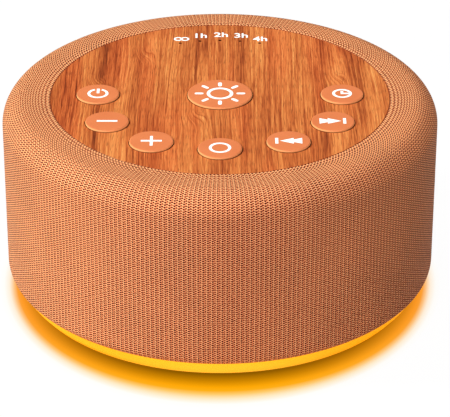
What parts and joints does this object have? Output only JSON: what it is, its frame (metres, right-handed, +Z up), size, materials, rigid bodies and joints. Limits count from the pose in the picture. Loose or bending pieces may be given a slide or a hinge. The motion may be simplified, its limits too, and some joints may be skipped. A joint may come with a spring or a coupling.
{
  "type": "white noise machine",
  "caption": "Low round bedside sound machine in knitted cloth with a wood-grain panel of sprung round buttons, a timer display and a glowing ring at its foot.",
  "frame": {"origin": "on the table under the middle of the drum, at the feet's lowest face", "axes": "+Z up through the middle of the top panel, -Y towards the user's side with the round mode button, +Y towards the power socket at the back"},
  "size_m": [0.11, 0.11, 0.0527],
  "materials": {
    "knit_fabric": "matte",
    "wood_grain": "satin",
    "button_plastic": "satin",
    "milky_plastic": "satin",
    "shell_plastic": "matte",
    "black_rubber": "matte",
    "dark_plastic": "matte",
    "clear_plastic": "gloss",
    "circuit_board": "satin",
    "paper_cone": "matte",
    "cloth_spider": "matte",
    "foam": "matte",
    "plated_steel": "satin",
    "zinc_screw": "satin",
    "magnet_ferrite": "matte",
    "copper_winding": "satin",
    "lamp_resin": "gloss",
    "cable_grey": "satin",
    "wire_red": "satin",
    "can_aluminium": "satin"
  },
  "bodies": {
    "drum": {"fabric_sleeve": "knit_fabric", "housing": "shell_plastic", "top_panel": "wood_grain", "light_ring": "milky_plastic", "base_cover": "shell_plastic", "rubber_feet": "black_rubber", "inlet_bezel": "dark_plastic", "timer_light_guide": "clear_plastic", "timer_leds": "lamp_resin", "tact_switches": "dark_plastic", "key_board": "circuit_board", "key_board_screws": "zinc_screw", "speaker_deck": "dark_plastic", "deck_screws": "zinc_screw", "speaker_basket": "plated_steel", "speaker_gasket": "foam", "speaker_top_plate": "plated_steel", "speaker_magnet": "magnet_ferrite", "speaker_yoke": "plated_steel", "speaker_surround": "black_rubber", "speaker_spider": "cloth_spider", "speaker_screws": "zinc_screw", "terminal_board": "circuit_board", "speaker_leads": "wire_red", "main_board": "circuit_board", "main_board_screws": "zinc_screw", "board_chips": "dark_plastic", "board_capacitors": "can_aluminium", "socket_shell": "plated_steel", "socket_tongue": "dark_plastic", "ribbon_cable": "cable_grey", "cable_plugs": "dark_plastic", "light_board": "circuit_board", "night_lights": "lamp_resin", "light_link": "dark_plastic", "base_screws": "zinc_screw"},
    "cone_body": {"speaker_cone": "paper_cone", "dust_cap": "paper_cone", "voice_coil": "copper_winding"},
    "power_key": {"power_button": "button_plastic", "power_plunger": "dark_plastic"},
    "volume_down_key": {"volume_down_button": "button_plastic", "volume_down_plunger": "dark_plastic"},
    "volume_up_key": {"volume_up_button": "button_plastic", "volume_up_plunger": "dark_plastic"},
    "mode_key": {"mode_button": "button_plastic", "mode_plunger": "dark_plastic"},
    "previous_key": {"previous_button": "button_plastic", "previous_plunger": "dark_plastic"},
    "next_key": {"next_button": "button_plastic", "next_plunger": "dark_plastic"},
    "timer_key": {"timer_button": "button_plastic", "timer_plunger": "dark_plastic"},
    "night_light_key": {"night_light_button": "button_plastic", "night_light_plunger": "dark_plastic"}
  },
  "joints": [
    {"name": "power_press", "type": "slide", "parent": "drum", "child": "power_key", "axis": [0, 0, -1], "range_m": [0, 0.0005], "stiffness_N_per_m": 1500},
    {"name": "volume_down_press", "type": "slide", "parent": "drum", "child": "volume_down_key", "axis": [0, 0, -1], "range_m": [0, 0.0005], "stiffness_N_per_m": 1500},
    {"name": "volume_up_press", "type": "slide", "parent": "drum", "child": "volume_up_key", "axis": [0, 0, -1], "range_m": [0, 0.0005], "stiffness_N_per_m": 1500},
    {"name": "mode_press", "type": "slide", "parent": "drum", "child": "mode_key", "axis": [0, 0, -1], "range_m": [0, 0.0005], "stiffness_N_per_m": 1500},
    {"name": "previous_press", "type": "slide", "parent": "drum", "child": "previous_key", "axis": [0, 0, -1], "range_m": [0, 0.0005], "stiffness_N_per_m": 1500},
    {"name": "next_press", "type": "slide", "parent": "drum", "child": "next_key", "axis": [0, 0, -1], "range_m": [0, 0.0005], "stiffness_N_per_m": 1500},
    {"name": "timer_press", "type": "slide", "parent": "drum", "child": "timer_key", "axis": [0, 0, -1], "range_m": [0, 0.0005], "stiffness_N_per_m": 1500},
    {"name": "night_light_press", "type": "slide", "parent": "drum", "child": "night_light_key", "axis": [0, 0, -1], "range_m": [0, 0.0005], "stiffness_N_per_m": 1500},
    {"name": "cone_stroke", "type": "slide", "parent": "drum", "child": "cone_body", "axis": [0, 0, 1], "range_m": [-0.001, 0.001], "stiffness_N_per_m": 1500, "deforming": ["speaker_surround", "speaker_spider"]}
  ]
}
